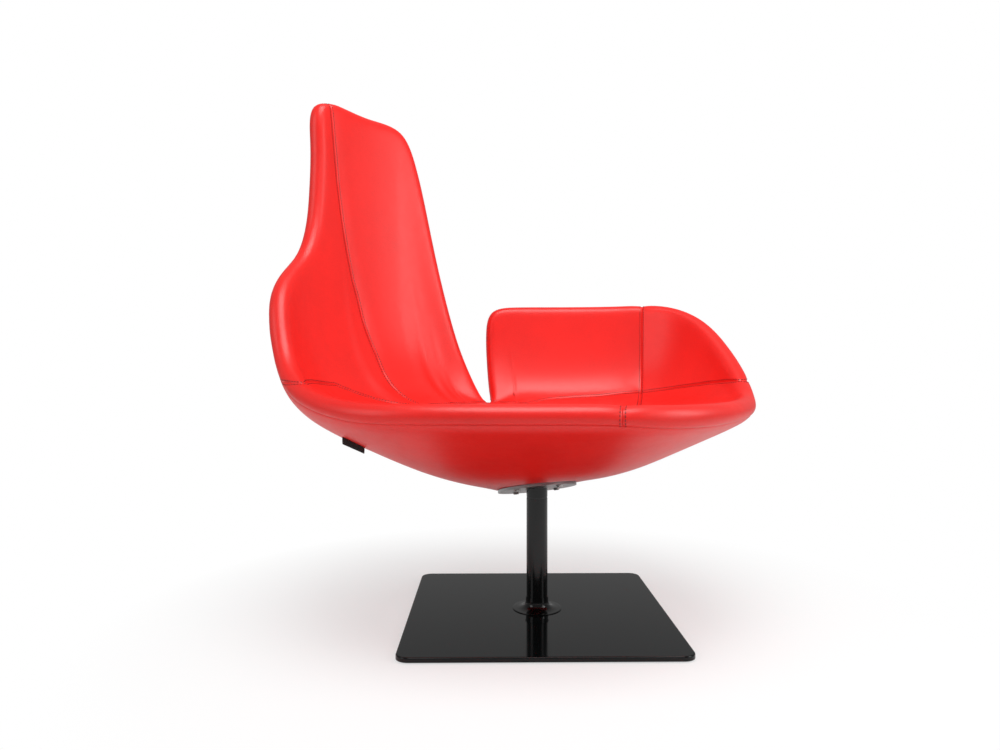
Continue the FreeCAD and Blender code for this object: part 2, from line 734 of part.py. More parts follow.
def main():
    os.makedirs("parts", exist_ok=True)
    write("base_plate", base_plate())
    write("base_pad", base_pad())
    write("base_collar", base_collar())
    write("column_tube", column_tube())
    write("column_foot_plug", column_foot_plug())
    write("base_screw", base_screw())
    write("lower_bush", lower_bush())
    write("upper_bush", upper_bush())
    write("thrust_washer", thrust_washer())
    write("spindle", spindle())
    write("swivel_head", swivel_head())
    write("retaining_ring", retaining_ring())
    write("mounting_disc", mounting_disc())
    write("disc_screws", disc_screws())
    write("seat_frame", seat_frame())
    for name, foam in pieces_of(shell_foam(), ["foam_seat", "foam_arm", "foam_back"], [seat_side(), arm_side()]):
        write(name, foam)
    for name, panel in inner_covers():
        write(name, panel)
    write("outer_cover", outer_cover())
    write("seam_tab", seam_tab())


main()
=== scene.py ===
import json
import math

import bmesh
import bpy
import numpy as np
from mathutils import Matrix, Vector

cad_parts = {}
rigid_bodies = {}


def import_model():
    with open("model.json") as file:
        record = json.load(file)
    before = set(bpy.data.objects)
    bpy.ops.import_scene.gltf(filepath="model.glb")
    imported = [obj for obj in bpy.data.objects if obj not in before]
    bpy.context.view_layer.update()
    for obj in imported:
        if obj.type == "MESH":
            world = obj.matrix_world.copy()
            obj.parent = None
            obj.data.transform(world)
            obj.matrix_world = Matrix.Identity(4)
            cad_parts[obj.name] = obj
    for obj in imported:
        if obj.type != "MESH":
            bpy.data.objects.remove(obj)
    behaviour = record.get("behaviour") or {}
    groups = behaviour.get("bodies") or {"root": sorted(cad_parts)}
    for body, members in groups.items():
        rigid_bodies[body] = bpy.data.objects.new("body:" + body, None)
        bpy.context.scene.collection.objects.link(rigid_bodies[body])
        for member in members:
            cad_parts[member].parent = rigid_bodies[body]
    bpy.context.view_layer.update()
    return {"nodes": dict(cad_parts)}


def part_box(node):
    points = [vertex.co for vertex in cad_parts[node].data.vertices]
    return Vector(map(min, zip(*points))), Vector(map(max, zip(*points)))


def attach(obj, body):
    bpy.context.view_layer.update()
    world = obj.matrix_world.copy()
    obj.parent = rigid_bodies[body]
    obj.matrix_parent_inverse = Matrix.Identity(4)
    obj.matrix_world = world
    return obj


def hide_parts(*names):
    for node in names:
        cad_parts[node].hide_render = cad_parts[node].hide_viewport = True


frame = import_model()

bl_info = {
    "name": "Pedestal swivel armchair",
    "version": (1, 0, 0),
    "blender": (4, 5, 0),
    "location": "View3D > Sidebar > Armchair",
    "description": "Red leather shell chair on a round column and a square lacquered plate",
    "category": "Object",
}

# Shell and its rolled edge: lengths in mm, angles in degrees about the swivel axis from +X
ROLL_RADIUS = 20.0
RIM_Z = 390.0
ARM_RISE = 202.0
BACK_RISE = 614.0
WING_RISE = 246.0
WALL_SCALE = 290.0
FLARE_HEIGHT = 200.0
BELLY = 0.95
SEAT_Z = 365.0
SEAT_EDGE_DROP = 3.0
SEAT_DISH = 2.2
SEAT_REACH = 1.2
EDGE_FLAT = 34.0
SHARPEST_MITRE = 0.7
HUB_Z = 241.0
HUB_SLOPE_X = 0.107
HUB_SLOPE_Y = -0.24
DISC_RADIUS = 75.0
HUB_MARGIN = 1.0
HUB_SET_IN = 3.0
SEAT_RING = 45.0
SEAT_RING_LIFT = 1.0
SEAT_DISC = 20.0
UP = Vector((0, 0, 1))

# Sections of the shell by plan angle: radius at the bend, how far the wall leans out, how much
# of the section the bend takes up, and how far the seat's edge rises
FOOT_RADIUS = [
    (0, 397), (15, 392), (30, 392), (45, 380), (60, 350), (75, 322),
    (90, 312), (105, 318), (120, 335), (135, 355), (150, 372), (165, 390),
    (180, 412), (192, 428), (205, 430), (217, 417), (228, 402), (240, 377),
    (255, 348), (270, 336), (285, 345), (298, 364), (311, 366), (325, 368),
    (341, 374), (352, 392),
]
WALL_FLARE = [
    (0, 30), (15, 52), (30, 64), (60, 62), (90, 60), (105, 62), (120, 66), (150, 70),
    (165, 80), (180, 93), (192, 94), (210, 60), (230, 20), (270, 10), (330, 10),
]
BEND_SHARES = [
    (0, 0.15), (20, 0.30), (60, 0.35), (120, 0.40), (170, 0.35),
    (190, 0.25), (215, 0.06), (270, 0.03), (330, 0.03),
]
SEAT_EDGE_LIFT = [
    (0, 8), (30, 8), (90, 4), (110, 0), (150, 6), (190, 10), (215, 4), (240, 0), (270, 0),
    (330, 0),
]

# Rolled edge all round, as (angle, height above the front rim, angle at the hub)
RIM = [
    (-90.0, 0.0, -90.0), (-76.0, 0.0, -76.0), (-62.0, -2.0, -61.0), (-44.0, -2.0, -45.0),
    (-26.0, -1.0, -28.0), (-11.0, 1.0, -14.0), (-2.0, 12.0, -1.0),
    (8.0, 0.27 * ARM_RISE, 11.0), (19.0, 0.54 * ARM_RISE, 22.0), (30.0, 0.83 * ARM_RISE, 33.0),
    (42.0, 1.01 * ARM_RISE, 44.0), (56.0, ARM_RISE, 56.0), (70.0, ARM_RISE, 67.0),
    (84.0, ARM_RISE, 78.0), (95.0, ARM_RISE, 84.0),
    (103.0, 1.01 * ARM_RISE, 88.5), (103.0, 0.78 * ARM_RISE, 91.5), (103.0, 0.50 * ARM_RISE, 94.5),
    (103.2, 0.20 * ARM_RISE, 98.5), (103.4, -2.0, 103.0), (109.5, -24.0, 109.5),
    (115.3, -2.0, 116.0), (117.4, 0.08 * BACK_RISE, 120.0), (120.4, 0.195 * BACK_RISE, 124.0),
    (123.7, 0.36 * BACK_RISE, 127.5), (127.0, 0.545 * BACK_RISE, 131.0),
    (130.0, 0.735 * BACK_RISE, 134.5), (132.8, 0.88 * BACK_RISE, 138.0),
    (136.0, BACK_RISE, 141.5), (147.0, 0.987 * BACK_RISE, 146.0), (156.0, BACK_RISE, 149.5),
    (164.6, 1.012 * BACK_RISE, 153.0), (163.0, 0.88 * BACK_RISE, 156.5),
    (164.0, 0.735 * BACK_RISE, 160.0), (165.5, 0.60 * BACK_RISE, 164.0),
    (170.0, 0.47 * BACK_RISE, 169.0), (178.0, WING_RISE, 175.0), (185.0, 0.81 * WING_RISE, 181.0),
    (188.5, 0.55 * WING_RISE, 187.0), (193.0, 0.305 * WING_RISE, 194.0),
    (201.0, 0.142 * WING_RISE, 202.0), (211.0, 0.053 * WING_RISE, 212.0),
    (224.0, 0.0, 224.0), (237.0, 0.0, 238.0), (254.0, 0.0, 254.0),
]
# Rows of a section between the disc and the roll, as shares, and the roll as (turn, reach)
SECTION_STEPS = [0.0, 0.10, 0.28, 0.46, 0.64, 0.82]
ROLL_POINTS = [(90, 1.0), (52, 1.12), (18, 1.13), (-18, 1.13), (-52, 1.12), (-90, 1.0)]
# Where the seat's top gives way to the wall's inside, and over how much of a soft or hard bend
WALL_START = 0.75
SOFT_BEND = 0.1
SOFT_BLEND = 0.45
HARD_BLEND = 0.25
# Span of section places that is searched for a height, how often it is halved, and the step
# in which slopes are measured
W_RANGE = (0.2, 3.6)
HALVINGS = 40
W_STEP = 0.01

# Seams: the outer one runs at a fixed row under the roll, the seat's at a height by plan angle,
# the back's at a plan angle by height, and the arm's in an upright plane
OUTER_ROW = 6.4
SEAT_SEAM = [
    (2, 443), (16, 437.5), (30, 427), (41.5, 417), (50, 413), (58, 407), (65, 405), (80, 400.5),
    (92, 391), (100, 392), (155, 392), (163, 395.6), (166.6, 405), (171.7, 418.5),
    (177.7, 436), (190, 442), (198.7, 441),
]
BACK_SEAM = [
    (436, 153.3), (493, 152.9), (553, 154.7), (578, 155.3), (618, 156.0), (656, 157.2),
    (721, 158.5), (783, 159.6), (847, 160.5), (916, 161.2), (972, 161.8), (1007, 162.3),
]
ARM_SEAM = (102.0, -341.0, 0.970, -0.243)
SLIT_ANGLE = 109.4
BACK_END = 270.0
SEAMS = ("outer", "seat", "back", "arm")
# Plan angles where the seat's seam starts and ends, and where the back's starts
SEAM_START = 345.0
SEAM_END = 215.0
BACK_SEAM_START = 125.0
# How far the outer seam's pull reaches, in rows, and the back's seam below the seat's, in mm
OUTER_REACH = 2.5
SEAM_OVERLAP = 0.2

# Cuts beside a seam: their distances in mm, the one that a row of stitches follows, the band
# that is cut and how near an old vertex may be to serve as the cut's own
LEVELS = [0.0, 1.3, -1.3, 2.7, -2.7, 4.0, -4.0, 5.6, -5.6, 8.0, -8.0, 12.0, -12.0]
STITCH_LEVEL = 4.0
CUT_REACH = 30.0
CUT_SNAP = 0.12
# Rows of stitches by the mark on their edges, two for each seam after the outer one
STITCH_ROWS = {
    3: "stitches_seat_upper", 4: "stitches_seat_lower", 5: "stitches_back_near",
    6: "stitches_back_far", 7: "stitches_arm_front", 8: "stitches_arm_rear",
}

# Leather panels in the order of their numbers, as (piece, nodes it stands for, fill)
PANELS = [
    ("leather_belly", ["outer_cover"], 0.9),
    ("leather_seat_main", ["seat_cover_main", "foam_seat"], 0.8),
    ("leather_seat_front", ["seat_cover_front"], 0.8),
    ("leather_back_main", ["back_cover_main", "foam_back"], 0.8),
    ("leather_back_wing", ["back_cover_wing"], 0.8),
    ("leather_arm_rear", ["arm_cover_rear", "foam_arm"], 0.8),
    ("leather_arm_front", ["arm_cover_front"], 0.8),
]

# Leather over its padding, in mm: how far it is set in, how the pull at a seam fades, how wide
# the padding's crown is, and the puckers beside a seam with their wave lengths over two pi
SET_IN = 0.8
OUTER_DEPTH = 0.7
GROOVE_POWER = 1.6
CROWN_WIDTH = 16.0
PUCKER_HEIGHT = 0.14
PUCKER_PLACE = 7.0
PUCKER_WIDTH = 5.0
PUCKER_WAVES = (3.1, 2.7, 3.3)
# The same crown in rows: where it starts, over how many it rises and over how many it falls
CROWN_START = 3.0
CROWN_RISE = 2.0
CROWN_FALL = 3.0

# For the sums: the step in stations and rows in which slopes are measured, how far short of the
# last row a place is taken, least values that are divided by, a distance that counts as far
# off, and how many places are worked out at a time
CHART_STEP = 1e-3
END_GAP = 1e-7
TINY = 1e-9
LEAST_SLOPE = 1e-12
FAR = 1e3
BATCH = 8192
MM_PER_M = 1000.0

# Leather shell, in metres: distance at which corners are joined, a height between its two open
# ends, and how far the stitches stand above the leather
WELD = 2e-5
BETWEEN_ENDS = 0.32
STITCH_LIFT = 0.0001
# Trumpet collar, in metres, with its numbers of steps and the angle in degrees of a sharp edge
COLLAR_BORE = 0.0201
COLLAR_NECK = 0.0213
COLLAR_SIDES = 128
LIP_ROUND = 0.0004
LIP_HEIGHT = 0.0011
FLARE_STEPS = 32
FLARE_FOOT = 0.0015
FLARE_SHORT = 0.0021
RING_WIDTH = 0.0008
RING_HEIGHT = 0.0005
RING_EDGE = 0.0001
SHARP_ANGLE = 40.0
# Fabric tab, in metres, from its left end to its right one, with its numbers of steps
TAB_ENDS = (Vector((-0.332, -0.180, 0.350)), Vector((-0.302, -0.150, 0.331)))
TAB_STEPS = 16
FOLD_STEPS = 14
TAB_FOLD = 0.0011
TAB_BULGE = 0.0006
TAB_DROP = 0.0105
TAB_TUCK = 0.004
TAPE_THICKNESS = 0.0007

# Patterns: a crease runs over so many grains, the leather's tone drifts over so many mm, and
# the turned rings lie so many mm apart, coarser than real ones so that they show
CREASE_GRAINS = 9.0
TONE_MM = 143.0
RING_MM = 1.764
# A wave pattern repeats about this often in a metre at scale 1, once for two woven threads
WAVE_REPEATS = 3.15

# Studio, in metres and watts: floor, its fade, lamps as (name, place, target, size, power)
WHITE = (1.0, 1.0, 1.0, 1.0)
FLOOR_REACH = 12.0
FADE_START = 0.30
FADE_END = 0.80
LAMPS = [
    ("lamp_above", (0.1, -0.7, 2.5), (0.0, 0.0, 0.4), (1.6, 1.3), 43.0),
    ("lamp_left", (-2.3, -1.2, 1.5), (0.0, 0.0, 0.6), (1.2, 1.8), 14.0),
    ("lamp_right", (2.3, -1.3, 1.3), (0.0, 0.0, 0.6), (1.0, 1.8), 11.0),
    ("lamp_side", (1.45, -0.42, 1.2), (-0.2, 0.2, 0.6), (0.35, 0.8), 6.0),
]
# Camera, worked out from the plate's perspective: film and lens in mm, turn in degrees
FILM_WIDTH = 36.0
LENS_LENGTH = 25.99
LENS_SHIFT = -0.0015
CAMERA_PLACE = (-0.0872, -1.3733, 0.4559)
CAMERA_TURN = -0.7


def keyed(keys, angle):
    """Smooth periodic value at a plan angle, through (angle, value) keys."""
    angle %= 360.0
    count = len(keys)
    at = sum(1 for key in keys if key[0] <= angle) - 1

    def key(index):
        turns, place = divmod(index, count)
        return keys[place][0] + 360.0 * turns, keys[place][1]

    (x0, v0), (x1, v1), (x2, v2), (x3, v3) = [key(at + step) for step in (-1, 0, 1, 2)]
    before = (v1 - v0) / (x1 - x0)
    along = (v2 - v1) / (x2 - x1)
    after = (v3 - v2) / (x3 - x2)
    slope1 = (along * (x1 - x0) + before * (x2 - x1)) / (x2 - x0)
    slope2 = (after * (x2 - x1) + along * (x3 - x2)) / (x3 - x1)
    t = (angle - x1) / (x2 - x1)
    value = (2 * t ** 3 - 3 * t ** 2 + 1) * v1 + (3 * t ** 2 - 2 * t ** 3) * v2
    return value + (x2 - x1) * ((t ** 3 - 2 * t ** 2 + t) * slope1 + (t ** 3 - t ** 2) * slope2)


def around(radius, angle, z=0.0):
    """Point at a plan angle and radius from the swivel axis."""
    turn = math.radians(angle)
    return Vector((radius * math.cos(turn), radius * math.sin(turn), z))


def ease(x):
    """Smooth step from 0 to 1."""
    x = min(1.0, max(0.0, x))
    return x * x * (3.0 - 2.0 * x)


def hub_z(x, y):
    """Height of the tilted plane where the shell sits on its disc."""
    return HUB_Z + HUB_SLOPE_X * x + HUB_SLOPE_Y * y


def plain_section(angle, w):
    """(radius, height) of the shell's middle: w runs 0 to 1 up the belly, then up the wall."""
    foot = keyed(FOOT_RADIUS, angle)
    start = DISC_RADIUS - HUB_SET_IN
    hub = around(start, angle)
    bottom = hub_z(hub.x, hub.y) + ROLL_RADIUS
    if w <= 1.0:
        climb = w - BELLY * w * (1.0 - w) ** 2
        return start + (foot - start) * w, bottom + (RIM_Z - bottom) * climb
    height = (w - 1.0) * WALL_SCALE
    flare = keyed(WALL_FLARE, angle) * (1.0 - math.exp(-height / FLARE_HEIGHT))
    return foot + flare, RIM_Z + height


def middle(angle, w):
    """Point on the shell's middle surface, with the bend between belly and wall rounded."""
    bend = keyed(BEND_SHARES, angle)
    if abs(w - 1.0) >= bend:
        radius, z = plain_section(angle, w)
        return around(radius, angle, z)
    t = (w - 1.0 + bend) / (2.0 * bend)
    ends = [plain_section(angle, 1.0 + side * bend) for side in (-1, 0, 1)]
    weights = [(1.0 - t) ** 2, 2.0 * t * (1.0 - t), t * t]
    radius = sum(weight * end[0] for weight, end in zip(weights, ends))
    z = sum(weight * end[1] for weight, end in zip(weights, ends))
    return around(radius, angle, z)


def slopes(angle, w):
    """Change of the middle surface per degree and per unit of w."""
    by_angle = middle(angle + 0.5, w) - middle(angle - 0.5, w)
    by_w = (middle(angle, w + W_STEP) - middle(angle, w - W_STEP)) * (0.5 / W_STEP)
    return by_angle, by_w


def outward(angle, w):
    """Unit normal of the middle surface on the side away from the sitter."""
    by_angle, by_w = slopes(angle, w)
    return by_angle.cross(by_w).normalized()


def w_at(angle, z):
    """Place on the section whose middle surface is at height z."""
    low, high = W_RANGE
    for _ in range(HALVINGS):
        half = (low + high) / 2.0
        if middle(angle, half).z < z:
            low = half
        else:
            high = half
    return (low + high) / 2.0


def step_on(angle, w, move):
    """Chart place reached from (angle, w) by a short move along the surface."""
    by_angle, by_w = slopes(angle, w)
    aa, ab, bb = by_angle.dot(by_angle), by_angle.dot(by_w), by_w.dot(by_w)
    pa, pb = move.dot(by_angle), move.dot(by_w)
    det = aa * bb - ab * ab
    return angle + (pa * bb - pb * ab) / det, w + (pb * aa - pa * ab) / det


def seat_height(angle, point):
    """Height of the seat's upper surface under or over a point."""
    share = min(SEAT_REACH, math.hypot(point.x, point.y) / keyed(FOOT_RADIUS, angle))
    edge = RIM_Z + ROLL_RADIUS - SEAT_EDGE_DROP + keyed(SEAT_EDGE_LIFT, angle)
    return SEAT_Z + (edge - SEAT_Z) * share ** SEAT_DISH


def rim_stations():
    """Centre of the rolled edge at each station, with its place, directions and flat margin."""
    chart = [(angle, w_at(angle, RIM_Z + rise)) for angle, rise, _ in RIM]
    centres = [middle(angle, w) for angle, w in chart]
    stations = []
    for index, (angle, w) in enumerate(chart):
        come = centres[index] - centres[index - 1]
        go = centres[(index + 1) % len(centres)] - centres[index]
        along = come + go
        normal = outward(angle, w)
        edge = normal.cross(along).normalized()
        mitre = max(SHARPEST_MITRE, (come.normalized() + go.normalized()).length / 2.0)
        stations.append((angle, w, centres[index], normal, edge, EDGE_FLAT / mitre))
    return stations


def section_points(station, hub_angle):
    """Control points of one section: under the belly, round the roll and back over the seat."""
    angle, w, centre, normal, edge, margin = station
    near_angle, near_w = step_on(angle, w, edge * -margin)
    turn = near_angle - hub_angle
    places = [(hub_angle + turn * step, near_w * step) for step in SECTION_STEPS]
    places.append((near_angle, near_w))
    under, over = [], []
    for index, (a, b) in enumerate(places):
        point = middle(a, b)
        side = outward(a, b)
        below = point + side * ROLL_RADIUS
        if index == 0:
            below = around(DISC_RADIUS + HUB_MARGIN, a)
            below.z = hub_z(below.x, below.y)
        under.append(below)
        blend = SOFT_BLEND if keyed(BEND_SHARES, a) > SOFT_BEND else HARD_BLEND
        wall = ease((b - WALL_START) / blend)
        seat = Vector((point.x, point.y, seat_height(a, point)))
        over.append(seat * (1.0 - wall) + (point - side * ROLL_RADIUS) * wall)
    roll = []
    for turn, share in ROLL_POINTS:
        turn = math.radians(turn)
        away = normal * math.sin(turn) + edge * math.cos(turn)
        roll.append(centre + away * ROLL_RADIUS * share)
    rings = [
        around(SEAT_RING, hub_angle, SEAT_Z + SEAT_RING_LIFT),
        around(SEAT_DISC, hub_angle, SEAT_Z),
    ]
    return under + roll + over[:0:-1] + rings


def control_net():
    """Control points of the leather's surface, stations by rows."""
    rows = [section_points(station, key[2]) for station, key in zip(rim_stations(), RIM)]
    return np.array([[tuple(point) for point in row] for row in rows])


NET = control_net()
ROWS = NET.shape[1] - 3
# Rows of faces across the shell, as (first, last, number): closer round the roll
ROW_BANDS = [(0.0, 5.6, 50), (5.7, 10.6, 50), (10.72, ROWS, 58)]


def row_weights(v):
    """Weights of the control rows at each place across the surface."""
    knots = np.concatenate([[0.0] * 3, np.arange(ROWS + 1), [float(ROWS)] * 3])
    v = np.clip(v, 0.0, ROWS - END_GAP)[:, None]
    weights = ((knots[:-1] <= v) & (v < knots[1:])).astype(float)
    for degree in (1, 2, 3):
        left = knots[degree:-1] - knots[:-1 - degree]
        right = knots[degree + 1:] - knots[1:-degree]
        rise = (v - knots[:-1 - degree]) / np.where(left > 0, left, 1.0) * (left > 0)
        fall = (knots[degree + 1:] - v) / np.where(right > 0, right, 1.0) * (right > 0)
        weights = rise * weights[:, :-1] + fall * weights[:, 1:]
    return weights


def spot(places):
    """Points of the leather's surface, in mm, at (station, row) places."""
    out = np.empty((len(places), 3))
    for start in range(0, len(places), BATCH):
        part = places[start:start + BATCH]
        base = np.floor(part[:, 0]).astype(int)
        t = part[:, 0] - base
        turn = np.stack([
            (1 - t) ** 3, 3 * t ** 3 - 6 * t ** 2 + 4, -3 * t ** 3 + 3 * t ** 2 + 3 * t + 1, t ** 3,
        ], axis=1) / 6.0
        rows = NET[(base[:, None] + np.arange(4)) % len(NET)]
        out[start:start + BATCH] = np.einsum(
            "ni,nj,nijk->nk", turn, row_weights(part[:, 1]), rows)
    return out


def plan_angle(points):
    """Plan angles of points about the swivel axis, in degrees from 0 to 360."""
    return np.degrees(np.arctan2(points[:, 1], points[:, 0])) % 360.0


def seam_value(name, places, points):
    """Value that is zero on a seam and changes sign across it."""
    if name == "outer":
        return places[:, 1] - OUTER_ROW
    if name == "seat":
        (first, start), (last, end) = SEAT_SEAM[0], SEAT_SEAM[-1]
        keys = np.array([(last - 360.0, end)] + SEAT_SEAM + [(first + 360.0, start)])
        return points[:, 2] - np.interp(plan_angle(points), keys[:, 0], keys[:, 1])
    if name == "back":
        keys = np.array(BACK_SEAM)
        return plan_angle(points) - np.interp(points[:, 2], keys[:, 0], keys[:, 1])
    x, y, across_x, across_y = ARM_SEAM
    return (points[:, 0] - x) * across_x + (points[:, 1] - y) * across_y


def frame_at(places):
    """Points of the surface, with its outward normals and the two slopes."""
    ends = np.where(places[:, 1] > ROWS - 2 * CHART_STEP, -CHART_STEP, CHART_STEP)
    points = spot(places)
    by_u = (spot(places + [CHART_STEP, 0.0]) - points) / CHART_STEP
    by_v = (spot(places + np.stack([0.0 * ends, ends], axis=1)) - points) / ends[:, None]
    normal = np.cross(by_u, by_v)
    length = np.maximum(np.linalg.norm(normal, axis=1), TINY)
    return points, normal / length[:, None], by_u, by_v


def seam_distance(name, places, points, by_u, by_v):
    """Distance from a seam over the surface, in mm, with a sign for its side."""
    here = seam_value(name, places, points)
    next_u = seam_value(name, places + [CHART_STEP, 0.0], points + by_u * CHART_STEP)
    next_v = seam_value(name, places + [0.0, CHART_STEP], points + by_v * CHART_STEP)
    rise_u, rise_v = (next_u - here) / CHART_STEP, (next_v - here) / CHART_STEP
    uu, uv, vv = (by_u * by_u).sum(1), (by_u * by_v).sum(1), (by_v * by_v).sum(1)
    slope = vv * rise_u ** 2 - 2 * uv * rise_u * rise_v + uu * rise_v ** 2
    slope = slope / np.maximum(uu * vv - uv * uv, TINY)
    return here / np.sqrt(np.maximum(slope, LEAST_SLOPE))


def seam_range(name, places, points):
    """Where each seam runs: all others lie inside the outer one, the back's above the seat's."""
    if name == "outer":
        return np.abs(places[:, 1] - OUTER_ROW) < OUTER_REACH
    angle = plan_angle(points)
    inside = places[:, 1] > OUTER_ROW - CHART_STEP
    if name == "seat":
        return inside & ((angle < SEAM_END) | (angle > SEAM_START))
    if name == "back":
        above = seam_value("seat", places, points) > -SEAM_OVERLAP
        return inside & above & (angle > BACK_SEAM_START) & (angle < SEAM_END)
    return inside & (points[:, 0] > 0.0)


def colour(text):
    """Linear colour of an sRGB hex value."""
    parts = [int(text.lstrip("#")[at:at + 2], 16) / 255.0 for at in (0, 2, 4)]
    linear = [c / 12.92 if c <= 0.04045 else ((c + 0.055) / 1.055) ** 2.4 for c in parts]
    return tuple(linear + [1.0])


def darker(linear, share):
    """A share of a linear colour."""
    return tuple(c * share for c in linear[:3]) + (1.0,)


def node(tree, kind, links=(), **settings):
    """Add a node with its links, where a plain number in a link sets that input instead.

    A setting that names an input sets it, stops sets a colour ramp, and others set the node."""
    made = tree.nodes.new(kind)
    for name, value in settings.items():
        plain = name.replace("_", " ").lower()
        match = [socket for socket in made.inputs if socket.name.lower() == plain]
        if name == "stops":
            for stop, (place, paint) in zip(made.color_ramp.elements, value):
                stop.position = place
                stop.color = paint
        elif match and not hasattr(type(made), name):
            match[0].default_value = value
        else:
            setattr(made, name, value)
    for target, source in links:
        if isinstance(source, bpy.types.NodeSocket):
            tree.links.new(source, made.inputs[target])
        else:
            made.inputs[target].default_value = source
    return made


def new_material(name):
    """Material without nodes, its tree, and the object's own coordinates in that tree."""
    made = bpy.data.materials.new(name)
    made.use_nodes = True
    tree = made.node_tree
    tree.nodes.clear()
    return made, tree, node(tree, "ShaderNodeTexCoord").outputs["Object"]


def leather_material(name, base, grain_mm, rough):
    """Corrected-grain leather, dyed and finished with a thin clear coat.

    Fine pebbles with painted shade in their valleys, shallow creases, a soft gloss, a slight change
    of tone."""
    made, tree, place = new_material(name)
    pebble = node(tree, "ShaderNodeTexVoronoi", [("Vector", place)], feature="SMOOTH_F1",
                  Scale=MM_PER_M / grain_mm)
    crease = node(tree, "ShaderNodeTexNoise", [("Vector", place)],
                  Scale=MM_PER_M / (grain_mm * CREASE_GRAINS), Detail=5.0)
    cloud = node(tree, "ShaderNodeTexNoise", [("Vector", place)],
                 Scale=MM_PER_M / TONE_MM, Detail=3.0)
    linear = colour(base)
    tone = node(tree, "ShaderNodeValToRGB", [("Fac", cloud.outputs["Fac"])],
                stops=[(0.3, darker(linear, 0.90)), (0.7, linear)])
    # Painted shade: the colour darkens towards the valleys between the grain's pebbles
    painted_valley_shade = node(tree, "ShaderNodeMapRange", [("Value", pebble.outputs["Distance"])],
                 To_Min=1.0, To_Max=0.86)
    shade = node(tree, "ShaderNodeMix", [(6, tone.outputs["Color"]), (7, painted_valley_shade.outputs["Result"])],
                 data_type="RGBA", blend_type="MULTIPLY", Factor=1.0)
    gloss = node(tree, "ShaderNodeMapRange", [("Value", crease.outputs["Fac"])],
                 To_Min=rough - 0.06, To_Max=rough + 0.08)
    fine = node(tree, "ShaderNodeBump", [("Height", pebble.outputs["Distance"])],
                Strength=0.22, Distance=0.0004, invert=True)
    bump = node(tree, "ShaderNodeBump", [
        ("Height", crease.outputs["Fac"]), ("Normal", fine.outputs["Normal"]),
    ], Strength=0.20, Distance=0.0012)
    shader = node(tree, "ShaderNodeBsdfPrincipled", [
        ("Base Color", shade.outputs[2]), ("Roughness", gloss.outputs["Result"]),
        ("Normal", bump.outputs["Normal"]),
    ], Specular_IOR_Level=0.38, Coat_Weight=0.16, Coat_Roughness=0.30)
    node(tree, "ShaderNodeOutputMaterial", [("Surface", shader.outputs["BSDF"])])
    return made


def coated_material(name, base, rough, spread, wave_mm, gleam=0.5):
    """Lacquer, paint, rubber, plastic or foam, in one colour.

    The gloss and the tone change faintly, and the surface has a soft ripple."""
    made, tree, place = new_material(name)
    cloud = node(tree, "ShaderNodeTexNoise", [("Vector", place)],
                 Scale=MM_PER_M / wave_mm, Detail=6.0)
    gloss = node(tree, "ShaderNodeMapRange", [("Value", cloud.outputs["Fac"])],
                 To_Min=max(0.02, rough - spread), To_Max=rough + spread)
    linear = colour(base)
    tone = node(tree, "ShaderNodeValToRGB", [("Fac", cloud.outputs["Fac"])],
                stops=[(0.0, darker(linear, 0.85)), (1.0, linear)])
    bump = node(tree, "ShaderNodeBump", [("Height", cloud.outputs["Fac"])],
                Strength=0.05, Distance=0.0002)
    shader = node(tree, "ShaderNodeBsdfPrincipled", [
        ("Base Color", tone.outputs["Color"]), ("Roughness", gloss.outputs["Result"]),
        ("Normal", bump.outputs["Normal"]),
    ], Specular_IOR_Level=gleam)
    node(tree, "ShaderNodeOutputMaterial", [("Surface", shader.outputs["BSDF"])])
    return made


def turned_material(name, base, rough):
    """Steel turned on a lathe, bare or zinc-plated: fine rings in its gloss and relief."""
    made, tree, place = new_material(name)
    rings = node(tree, "ShaderNodeTexWave", [("Vector", place)], wave_type="RINGS",
                 rings_direction="Z", Scale=MM_PER_M / RING_MM / WAVE_REPEATS,
                 Distortion=1.5, Detail=2.0)
    gloss = node(tree, "ShaderNodeMapRange", [("Value", rings.outputs["Fac"])],
                 To_Min=rough - 0.08, To_Max=rough + 0.08)
    bump = node(tree, "ShaderNodeBump", [("Height", rings.outputs["Fac"])],
                Strength=0.08, Distance=0.0001)
    shader = node(tree, "ShaderNodeBsdfPrincipled", [
        ("Roughness", gloss.outputs["Result"]), ("Normal", bump.outputs["Normal"]),
    ], Base_Color=colour(base), Metallic=1.0)
    node(tree, "ShaderNodeOutputMaterial", [("Surface", shader.outputs["BSDF"])])
    return made


def woven_material(name, base, thread_mm):
    """Plain-woven tape: crossed threads that shade and lift one another, dull all over."""
    made, tree, place = new_material(name)
    threads = MM_PER_M / (2.0 * thread_mm) / WAVE_REPEATS
    warp = node(tree, "ShaderNodeTexWave", [("Vector", place)], bands_direction="Z",
                Scale=threads)
    weft = node(tree, "ShaderNodeTexWave", [("Vector", place)], bands_direction="DIAGONAL",
                Scale=threads)
    cross = node(tree, "ShaderNodeMath", [(0, warp.outputs["Fac"]), (1, weft.outputs["Fac"])],
                 operation="MULTIPLY")
    linear = colour(base)
    tone = node(tree, "ShaderNodeValToRGB", [("Fac", cross.outputs["Value"])],
                stops=[(0.0, darker(linear, 0.5)), (1.0, linear)])
    bump = node(tree, "ShaderNodeBump", [("Height", cross.outputs["Value"])],
                Strength=0.5, Distance=0.0003)
    shader = node(tree, "ShaderNodeBsdfPrincipled", [
        ("Base Color", tone.outputs["Color"]), ("Normal", bump.outputs["Normal"]),
    ], Roughness=0.85, Sheen_Weight=0.3)
    node(tree, "ShaderNodeOutputMaterial", [("Surface", shader.outputs["BSDF"])])
    return made


def column_lacquer(colours):
    """Black gloss lacquer on turned steel, shared by the collar, the column and the head.

    Nearly black, with narrow reflections that are slightly softer than the plate's."""
    name = "column_gloss_lacquer"
    made = bpy.data.materials.get(name)
    return made or coated_material(
        name, colours.column, rough=0.13, spread=0.03, wave_mm=40.0, gleam=0.35)


